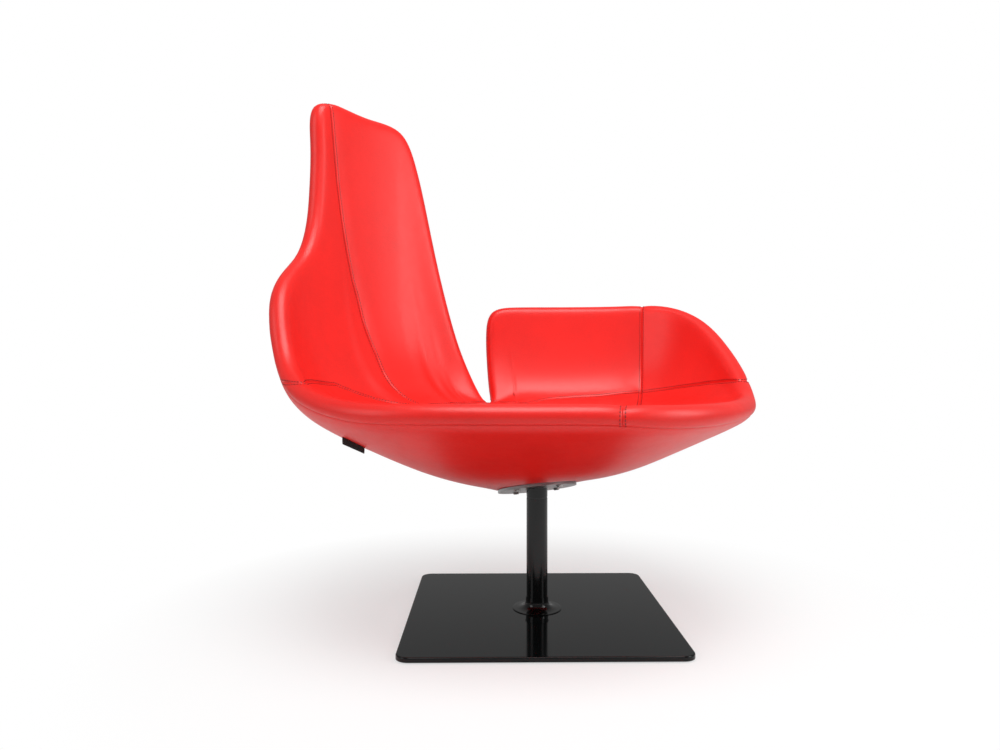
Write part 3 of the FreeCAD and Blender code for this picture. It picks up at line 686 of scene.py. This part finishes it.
def smooth_mesh(name, bm):
    """Smooth-shaded mesh out of an edited one, which is freed."""
    mesh = bpy.data.meshes.new(name)
    bm.to_mesh(mesh)
    bm.free()
    mesh.shade_smooth()
    return mesh


def link(name, mesh, finish, body):
    """Put a finished mesh in the scene as a piece that rides on a body."""
    piece = bpy.data.objects.new(name, mesh)
    bpy.context.scene.collection.objects.link(piece)
    piece.data.materials.clear()
    piece.data.materials.append(finish)
    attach(piece, body)
    return piece


class UpholsterySizes(bpy.types.PropertyGroup):
    """Sizes of the leather and its sewing"""
    groove: bpy.props.FloatProperty(
        name="Seam depth", description="How far the leather is drawn in at a seam",
        default=0.0017, min=0.0, subtype="DISTANCE", unit="LENGTH")
    groove_width: bpy.props.FloatProperty(
        name="Seam width", description="Distance over which the leather turns in at a seam",
        default=0.0030, min=0.0005, subtype="DISTANCE", unit="LENGTH")
    puff: bpy.props.FloatProperty(
        name="Padding", description="How far the padding stands up between seams",
        default=0.0016, min=0.0, subtype="DISTANCE", unit="LENGTH")
    thickness: bpy.props.FloatProperty(
        name="Leather thickness", description="Thickness of the hide",
        default=0.0016, min=0.0005, subtype="DISTANCE", unit="LENGTH")
    pitch: bpy.props.FloatProperty(
        name="Stitch pitch", description="Distance from one stitch to the next",
        default=0.0060, min=0.001, subtype="DISTANCE", unit="LENGTH")
    stitch: bpy.props.FloatProperty(
        name="Stitch length", description="Length of thread that shows between two holes",
        default=0.0044, min=0.0005, subtype="DISTANCE", unit="LENGTH")
    thread: bpy.props.FloatProperty(
        name="Thread radius", description="Half the thickness of the thread",
        default=0.0008, min=0.0001, subtype="DISTANCE", unit="LENGTH")
    columns: bpy.props.IntProperty(
        name="Columns", description="Columns of faces between two sections of the shell",
        default=9, min=2, max=16)


class ChairColours(bpy.types.PropertyGroup):
    """Colours of the chair, as sRGB hex values"""
    leather: bpy.props.StringProperty(
        name="Leather", description="Colour of the upholstery leather", default="#F41E17")
    thread: bpy.props.StringProperty(
        name="Thread", description="Colour of the sewing thread", default="#7E0F12")
    lacquer: bpy.props.StringProperty(
        name="Base lacquer", description="Colour of the lacquer on the base plate",
        default="#06090A")
    column: bpy.props.StringProperty(
        name="Column lacquer", description="Colour of the lacquer on the column and collar",
        default="#050606")


def chart_mesh(per_station):
    """Open chart of the whole shell, in (station, row) places, with faces from a grid."""
    rows = np.concatenate([np.linspace(*band) for band in ROW_BANDS])
    turns = np.linspace(0.0, len(NET), len(NET) * per_station + 1)
    bm = bmesh.new()
    grid = [[bm.verts.new((turn, row, 0.0)) for row in rows] for turn in turns]
    for a, b in zip(grid, grid[1:]):
        for index in range(len(rows) - 1):
            bm.faces.new((a[index], b[index], b[index + 1], a[index + 1]))
    return bm


def chart_places(bm):
    """(station, row) place of each vertex of a chart."""
    return np.array([(v.co.x, v.co.y) for v in bm.verts])


def cut_seam(bm, name, marks, number):
    """Cut the chart along a seam and beside it, and mark the edges where its stitches run."""
    bm.verts.index_update()
    places = chart_places(bm)
    points, _, by_u, by_v = frame_at(places)
    away = seam_distance(name, places, points, by_u, by_v)
    away = np.clip(away, -2.0 * CUT_REACH, 2.0 * CUT_REACH)
    inside = seam_range(name, places, points)
    for vert, value in zip(bm.verts, away):
        vert.co.z = value
    faces = []
    for face in bm.faces:
        ids = [v.index for v in face.verts]
        if all(inside[i] for i in ids) and min(abs(away[i]) for i in ids) < CUT_REACH:
            faces.append(face)
    geom = list({v for f in faces for v in f.verts}) + list({e for f in faces for e in f.edges})
    geom += faces
    for level in LEVELS:
        done = bmesh.ops.bisect_plane(
            bm, geom=geom, dist=CUT_SNAP, plane_co=(0.0, 0.0, level), plane_no=(0.0, 0.0, 1.0))
        geom = done["geom"]
        if abs(level) == STITCH_LEVEL and name != "outer":
            for item in done["geom_cut"]:
                if isinstance(item, bmesh.types.BMEdge):
                    item[marks] = number if level > 0 else number + 1


def sort_panels(bm, panels, places, points, away):
    """Give each face the number of its panel, by the side of each seam on which it lies."""
    seat_side = seam_value("seat", places, points)
    angle = plan_angle(points)
    for face in bm.faces:
        ids = [v.index for v in face.verts]
        if np.mean(places[ids, 1]) < OUTER_ROW:
            face[panels] = 0
        elif np.mean(seat_side[ids]) < 0.0:
            face[panels] = 1 if np.mean(away["arm"][ids]) < 0.0 else 2
        elif SLIT_ANGLE < np.mean(angle[ids]) < BACK_END:
            face[panels] = 3 if np.mean(away["back"][ids]) < 0.0 else 4
        else:
            face[panels] = 5 if np.mean(away["arm"][ids]) < 0.0 else 6


def dress(places, points, normals, away, sizes):
    """Places, in metres, of the leather: drawn in at seams, crowned between, a little puckered."""
    draw = np.zeros(len(places))
    apart = np.full(len(places), FAR)
    for name in SEAMS:
        near = np.where(seam_range(name, places, points), np.abs(away[name]), FAR)
        depth = OUTER_DEPTH if name == "outer" else 1.0
        fade = np.exp(-(near / (sizes.groove_width * MM_PER_M)) ** GROOVE_POWER)
        draw = np.maximum(draw, depth * fade)
        apart = np.minimum(apart, near)
    rows = places[:, 1]
    puff = sizes.puff * MM_PER_M * (1.0 - np.exp(-(apart / CROWN_WIDTH) ** 2))
    puff *= np.clip((rows - CROWN_START) / CROWN_RISE, 0.0, 1.0)
    puff *= np.clip((ROWS - rows) / CROWN_FALL, 0.0, 1.0)
    x, y, z = (points / PUCKER_WAVES).T
    pucker = PUCKER_HEIGHT * np.exp(-((apart - PUCKER_PLACE) / PUCKER_WIDTH) ** 2)
    pucker *= np.sin(x) + np.sin(y + 1.0) * np.sin(z)
    shift = puff - SET_IN - sizes.groove * MM_PER_M * draw + pucker
    return (points + normals * shift[:, None]) / MM_PER_M


def close_ends(bm, panels):
    """Close the shell where it sits on its disc and in the middle of the seat."""
    rims = {}
    for edge in [e for e in bm.edges if e.is_boundary]:
        rims.setdefault(edge.verts[0].co.z > BETWEEN_ENDS, []).append(edge)
    for on_seat, edges in rims.items():
        made = bmesh.ops.edgeloop_fill(bm, edges=edges)["faces"]
        for face in bmesh.ops.poke(bm, faces=made)["faces"]:
            face[panels] = 1 if on_seat else 0


def trace_stitches(bm, marks):
    """Lines where the stitches run, one loose mesh for each row, a little above the leather."""
    for number, name in STITCH_ROWS.items():
        verts, edges = {}, []
        for edge in bm.edges:
            if edge[marks] == number:
                edges.append([verts.setdefault(v, len(verts)) for v in edge.verts])
        if not edges:
            raise RuntimeError(f"no line for {name}")
        mesh = bpy.data.meshes.new(f"stitch_line_{number}")
        mesh.from_pydata([v.co + v.normal * STITCH_LIFT for v in verts], edges, [])
        line = bpy.data.objects.new(mesh.name, mesh)
        bpy.context.scene.collection.objects.link(line)


class CHAIR_OT_upholstery(bpy.types.Operator):
    """Make the seven sewn leather panels of the shell"""
    bl_idname = "chair.upholstery"
    bl_label = "Upholstery"

    def execute(self, context):
        sizes = context.scene.chair_sizes
        bm = chart_mesh(sizes.columns)
        marks = bm.edges.layers.int.new("stitches")
        panels = bm.faces.layers.int.new("panel")
        for number, name in enumerate(SEAMS):
            cut_seam(bm, name, marks, 1 + 2 * number)
        bmesh.ops.triangulate(bm, faces=[f for f in bm.faces if len(f.verts) > 4])
        bm.verts.index_update()
        places = chart_places(bm)
        points, normals, by_u, by_v = frame_at(places)
        away = {name: seam_distance(name, places, points, by_u, by_v) for name in SEAMS}
        sort_panels(bm, panels, places, points, away)
        for vert, co in zip(bm.verts, dress(places, points, normals, away, sizes)):
            vert.co = co
        bmesh.ops.remove_doubles(bm, verts=bm.verts, dist=WELD)
        close_ends(bm, panels)
        bmesh.ops.recalc_face_normals(bm, faces=bm.faces)
        trace_stitches(bm, marks)
        # Dyed cowhide, soft and slightly glossy; its grain is drawn coarser so that it shows
        leather = context.scene.chair_colours.leather
        finish = leather_material("upholstery_leather", leather, grain_mm=1.7, rough=0.40)
        for number, (name, nodes, fill) in enumerate(PANELS):
            part = bm.copy()
            layer = part.faces.layers.int["panel"]
            others = [f for f in part.faces if f[layer] != number]
            bmesh.ops.delete(part, geom=others, context="FACES")
            piece = link(name, smooth_mesh(name, part), finish, "seat")
            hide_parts(*nodes)
            wall = piece.modifiers.new("hide", "SOLIDIFY")
            wall.thickness = sizes.thickness
            wall.offset = -1.0
        bm.free()
        return {"FINISHED"}


def stitch_tree():
    """Geometry Nodes tree that sews a row of stitches along a line of edges."""
    tree = bpy.data.node_groups.new("sewn_row", "GeometryNodeTree")
    given = [("Geometry", "Geometry"), ("Pitch", "Float"), ("Stitch length", "Float"),
             ("Thread radius", "Float"), ("Thread", "Material")]
    for name, kind in given:
        tree.interface.new_socket(name, in_out="INPUT", socket_type=f"NodeSocket{kind}")
    tree.interface.new_socket("Geometry", in_out="OUTPUT", socket_type="NodeSocketGeometry")
    sizes = node(tree, "NodeGroupInput").outputs
    curve = node(tree, "GeometryNodeMeshToCurve", [("Mesh", sizes["Geometry"])])
    spots = node(tree, "GeometryNodeCurveToPoints", [
        ("Curve", curve.outputs["Curve"]), ("Length", sizes["Pitch"])], mode="LENGTH")
    ball = node(tree, "GeometryNodeMeshUVSphere", Segments=6, Rings=5, Radius=1.0)
    half = node(tree, "ShaderNodeMath", [(0, sizes["Stitch length"]), (1, 0.5)],
                operation="MULTIPLY")
    scale = node(tree, "ShaderNodeCombineXYZ", [
        ("X", sizes["Thread radius"]), ("Y", sizes["Thread radius"]), ("Z", half.outputs["Value"])])
    thread = node(tree, "GeometryNodeTransform", [
        ("Geometry", ball.outputs["Mesh"]), ("Scale", scale.outputs[0])])
    sewn = node(tree, "GeometryNodeInstanceOnPoints", [
        ("Points", spots.outputs["Points"]), ("Instance", thread.outputs["Geometry"]),
        ("Rotation", spots.outputs["Rotation"])])
    real = node(tree, "GeometryNodeRealizeInstances", [("Geometry", sewn.outputs["Instances"])])
    painted = node(tree, "GeometryNodeSetMaterial", [
        ("Geometry", real.outputs["Geometry"]), ("Material", sizes["Thread"])])
    node(tree, "NodeGroupOutput", [("Geometry", painted.outputs["Geometry"])])
    return tree


class CHAIR_OT_stitches(bpy.types.Operator):
    """Sew the double rows of stitches beside the seams"""
    bl_idname = "chair.stitches"
    bl_label = "Stitches"

    def execute(self, context):
        sizes = context.scene.chair_sizes
        # Bonded thread in a darker red: duller than the leather, with a slightly uneven gloss
        colour_of_thread = context.scene.chair_colours.thread
        thread = leather_material("sewing_thread", colour_of_thread, grain_mm=1.0, rough=0.5)
        tree = stitch_tree()
        sockets = [item for item in tree.interface.items_tree if item.in_out == "INPUT"]
        ids = {item.name: item.identifier for item in sockets}
        for number, name in STITCH_ROWS.items():
            line = bpy.data.objects[f"stitch_line_{number}"]
            sew = line.modifiers.new("sew", "NODES")
            sew.node_group = tree
            sew[ids["Pitch"]] = sizes.pitch
            sew[ids["Stitch length"]] = sizes.stitch
            sew[ids["Thread radius"]] = sizes.thread
            sew[ids["Thread"]] = thread
            context.view_layer.update()
            depsgraph = context.evaluated_depsgraph_get()
            mesh = bpy.data.meshes.new_from_object(line.evaluated_get(depsgraph))
            mesh.name = name
            mesh.shade_smooth()
            bpy.data.objects.remove(line)
            link(name, mesh, thread, "seat")
        return {"FINISHED"}


def collar_outline(foot, top, reach):
    """(radius, height) points of the collar's section: lip, flare, ring at the column, bore."""
    outline = [(COLLAR_BORE, foot), (reach - LIP_ROUND, foot),
               (reach, foot + LIP_ROUND), (reach, foot + LIP_HEIGHT)]
    for index in range(1, FLARE_STEPS + 1):
        share = index / FLARE_STEPS
        radius = COLLAR_NECK + (reach - COLLAR_NECK) * (1.0 - share) ** 2.0
        climb = 1.0 - (1.0 - share ** 2.0) ** 0.5
        outline.append((radius, foot + FLARE_FOOT + (top - foot - FLARE_SHORT) * climb))
    ring = COLLAR_NECK + RING_WIDTH
    return outline + [(ring, top - RING_HEIGHT), (ring, top - RING_EDGE),
                      (COLLAR_NECK, top), (COLLAR_BORE, top)]


class CHAIR_OT_collar(bpy.types.Operator):
    """Turn the trumpet collar at the column's foot"""
    bl_idname = "chair.collar"
    bl_label = "Collar"

    def execute(self, context):
        low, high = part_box("base_collar")
        outline = collar_outline(low.z, high.z, high.x)
        bm = bmesh.new()
        rings = []
        for step in range(COLLAR_SIDES):
            turn = 2.0 * math.pi * step / COLLAR_SIDES
            rings.append([
                bm.verts.new((r * math.cos(turn), r * math.sin(turn), z)) for r, z in outline])
        for step in range(COLLAR_SIDES):
            a, b = rings[step], rings[(step + 1) % COLLAR_SIDES]
            for index in range(len(outline)):
                after = (index + 1) % len(outline)
                bm.faces.new((a[index], b[index], b[after], a[after]))
        bmesh.ops.recalc_face_normals(bm, faces=bm.faces)
        mesh = smooth_mesh("trumpet_collar", bm)
        mesh.set_sharp_from_angle(angle=math.radians(SHARP_ANGLE))
        finish = column_lacquer(context.scene.chair_colours)
        piece = link("trumpet_collar", mesh, finish, "base")
        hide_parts("base_collar")
        return {"FINISHED"}


class CHAIR_OT_tab(bpy.types.Operator):
    """Fold the small fabric tab under the shell"""
    bl_idname = "chair.tab"
    bl_label = "Fabric tab"

    def execute(self, context):
        start, end = TAB_ENDS
        across = (end - start).normalized().cross(UP).normalized()
        bm = bmesh.new()
        rows = []
        for step in range(TAB_STEPS + 1):
            share = step / TAB_STEPS
            root = start.lerp(end, share)
            bulge = TAB_FOLD + TAB_BULGE * math.sin(math.pi * share)
            row = []
            for index in range(FOLD_STEPS + 1):
                turn = math.pi * index / FOLD_STEPS
                tuck = TAB_TUCK if index in (0, FOLD_STEPS) else 0.0
                drop = -TAB_DROP * math.sin(turn) ** 0.6 + tuck
                row.append(bm.verts.new(root + across * bulge * math.cos(turn) + UP * drop))
            rows.append(row)
        for a, b in zip(rows, rows[1:]):
            for index in range(FOLD_STEPS):
                bm.faces.new((a[index], b[index], b[index + 1], a[index + 1]))
        bmesh.ops.recalc_face_normals(bm, faces=bm.faces)
        # Black polyester tape, dull, with its threads drawn coarser so that they show
        finish = woven_material("woven_tape", "#141414", thread_mm=1.2)
        piece = link("woven_tab", smooth_mesh("woven_tab", bm), finish, "seat")
        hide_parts("seam_tab")
        wall = piece.modifiers.new("tape", "SOLIDIFY")
        wall.thickness = TAPE_THICKNESS
        wall.offset = 0.0
        return {"FINISHED"}


class CHAIR_OT_hardware(bpy.types.Operator):
    """Finish the plate, the column, the disc and the hidden parts"""
    bl_idname = "chair.hardware"
    bl_label = "Base and hardware"

    def execute(self, context):
        colours = context.scene.chair_colours
        column = column_lacquer(colours)
        # High-gloss lacquer, flatted and polished: a clear mirror with a faint wave
        lacquer = coated_material("plate_gloss_lacquer", colours.lacquer,
                                  rough=0.09, spread=0.03, wave_mm=60.0, gleam=0.3)
        # Moulded rubber: matt and nearly black
        rubber = coated_material("pad_rubber", "#1A1A1A", rough=0.85, spread=0.05, wave_mm=3.0)
        # Bare turned steel: pale, with fine rings
        steel = turned_material("turned_steel", "#B4B4B2", rough=0.32)
        # Moulded acetal: black, with a waxy half gloss
        plastic = coated_material("acetal_bush", "#17181A", rough=0.42, spread=0.05, wave_mm=8.0)
        # Zinc-plated turned steel: greyer and duller than the bare steel
        zinc = turned_material("zinc_plated_disc", "#9B9C9C", rough=0.36)
        # Sprayed paint on welded bar: dark grey and satin
        paint = coated_material("frame_paint", "#2A2C2E", rough=0.5, spread=0.08, wave_mm=12.0)
        # Moulded polyurethane foam: cream and matt
        foam = coated_material("hidden_foam", "#E8D9A0", rough=0.9, spread=0.05, wave_mm=4.0)
        finishes = {
            "base_plate": lacquer, "base_pad": rubber, "base_collar": column,
            "column_tube": column, "column_foot_plug": steel, "base_screw": steel,
            "lower_bush": plastic, "upper_bush": plastic, "thrust_washer": plastic,
            "spindle": steel, "swivel_head": column, "retaining_ring": steel,
            "mounting_disc": zinc, "disc_screws": steel, "seat_frame": paint,
            "foam_seat": foam, "foam_arm": foam, "foam_back": foam,
            "seam_tab": bpy.data.materials["woven_tape"],
        }
        leather = bpy.data.materials["upholstery_leather"]
        for name, part in frame["nodes"].items():
            part.data.materials.clear()
            part.data.materials.append(finishes.get(name, leather))
        return {"FINISHED"}


def floor_material():
    """Matt white studio paint that fades to plain white away from the object.

    The plain white is for the camera and, in part, for reflections, so a shadow stays."""
    made, tree, place = new_material("studio_floor_paint")
    far = node(tree, "ShaderNodeVectorMath", [(0, place)], operation="LENGTH")
    fade = node(tree, "ShaderNodeMapRange", [("Value", far.outputs["Value"])],
                From_Min=FADE_START, From_Max=FADE_END, To_Min=0.55)
    paint = node(tree, "ShaderNodeBsdfDiffuse", Color=colour("#F4F4F4"))
    white = node(tree, "ShaderNodeEmission", Color=WHITE, Strength=1.0)
    path = node(tree, "ShaderNodeLightPath")
    mirrored = node(tree, "ShaderNodeMath", [(0, path.outputs["Is Glossy Ray"]), (1, 0.3)],
                    operation="MULTIPLY")
    seen = node(tree, "ShaderNodeMath", [
        (0, path.outputs["Is Camera Ray"]), (1, mirrored.outputs["Value"])], operation="MAXIMUM")
    share = node(tree, "ShaderNodeMath", [
        (0, seen.outputs["Value"]), (1, fade.outputs["Result"])], operation="MULTIPLY")
    mix = node(tree, "ShaderNodeMixShader", [
        ("Fac", share.outputs["Value"]), (1, paint.outputs["BSDF"]), (2, white.outputs["Emission"])])
    node(tree, "ShaderNodeOutputMaterial", [("Surface", mix.outputs["Shader"])])
    return made


def studio_air():
    """World that is plain white to the camera and lights the object softly."""
    world = bpy.data.worlds.new("studio_air")
    world.use_nodes = True
    tree = world.node_tree
    tree.nodes.clear()
    path = node(tree, "ShaderNodeLightPath")
    light = node(tree, "ShaderNodeBackground", Color=WHITE, Strength=0.30)
    seen = node(tree, "ShaderNodeBackground", Color=WHITE, Strength=1.0)
    mix = node(tree, "ShaderNodeMixShader", [
        ("Fac", path.outputs["Is Camera Ray"]), (1, light.outputs[0]), (2, seen.outputs[0])])
    node(tree, "ShaderNodeOutputWorld", [("Surface", mix.outputs[0])])
    return world


def soft_box(name, place, target, size, power):
    """Large soft lamp that looks at a point."""
    lamp = bpy.data.lights.new(name, "AREA")
    lamp.shape = "RECTANGLE"
    lamp.size, lamp.size_y = size
    lamp.energy = power
    made = bpy.data.objects.new(name, lamp)
    made.location = place
    made.rotation_euler = (Vector(target) - Vector(place)).to_track_quat("-Z", "Y").to_euler()
    bpy.context.scene.collection.objects.link(made)


class CHAIR_OT_studio(bpy.types.Operator):
    """Set up the pale floor, the lamps and the camera"""
    bl_idname = "chair.studio"
    bl_label = "Studio"

    def execute(self, context):
        scene = context.scene
        scene.view_settings.view_transform = "Standard"
        mesh = bpy.data.meshes.new("studio_floor")
        corners = [(-1, -1), (1, -1), (1, 1), (-1, 1)]
        mesh.from_pydata([(x * FLOOR_REACH, y * FLOOR_REACH, 0) for x, y in corners],
                         [], [(0, 1, 2, 3)])
        mesh.materials.append(floor_material())
        floor = bpy.data.objects.new("studio_floor", mesh)
        scene.collection.objects.link(floor)
        scene.world = studio_air()
        for lamp in LAMPS:
            soft_box(*lamp)
        lens = bpy.data.cameras.new("photo_camera")
        lens.sensor_width = FILM_WIDTH
        lens.lens = LENS_LENGTH
        lens.shift_y = LENS_SHIFT
        camera = bpy.data.objects.new("photo_camera", lens)
        camera.location = CAMERA_PLACE
        camera.rotation_euler = (math.radians(90.0), 0.0, math.radians(CAMERA_TURN))
        scene.collection.objects.link(camera)
        scene.camera = camera
        return {"FINISHED"}


class CHAIR_PT_panel(bpy.types.Panel):
    """Sizes, colours and pieces of the armchair"""
    bl_label = "Armchair"
    bl_idname = "CHAIR_PT_panel"
    bl_space_type = "VIEW_3D"
    bl_region_type = "UI"
    bl_category = "Armchair"

    def draw(self, context):
        for group in (context.scene.chair_sizes, context.scene.chair_colours):
            box = self.layout.box()
            for name in group.__annotations__:
                box.prop(group, name)
        for operator in OPERATORS:
            self.layout.operator(operator.bl_idname)


OPERATORS = (
    CHAIR_OT_upholstery, CHAIR_OT_stitches, CHAIR_OT_collar, CHAIR_OT_tab, CHAIR_OT_hardware,
    CHAIR_OT_studio,
)
CLASSES = (UpholsterySizes, ChairColours) + OPERATORS + (CHAIR_PT_panel,)


def register():
    for item in CLASSES:
        bpy.utils.register_class(item)
    bpy.types.Scene.chair_sizes = bpy.props.PointerProperty(type=UpholsterySizes)
    bpy.types.Scene.chair_colours = bpy.props.PointerProperty(type=ChairColours)


def unregister():
    del bpy.types.Scene.chair_colours
    del bpy.types.Scene.chair_sizes
    for item in reversed(CLASSES):
        bpy.utils.unregister_class(item)


def main():
    register()
    bpy.ops.chair.upholstery()
    bpy.ops.chair.stitches()
    bpy.ops.chair.collar()
    bpy.ops.chair.tab()
    bpy.ops.chair.hardware()
    bpy.ops.chair.studio()


if __name__ == "__main__":
    main()
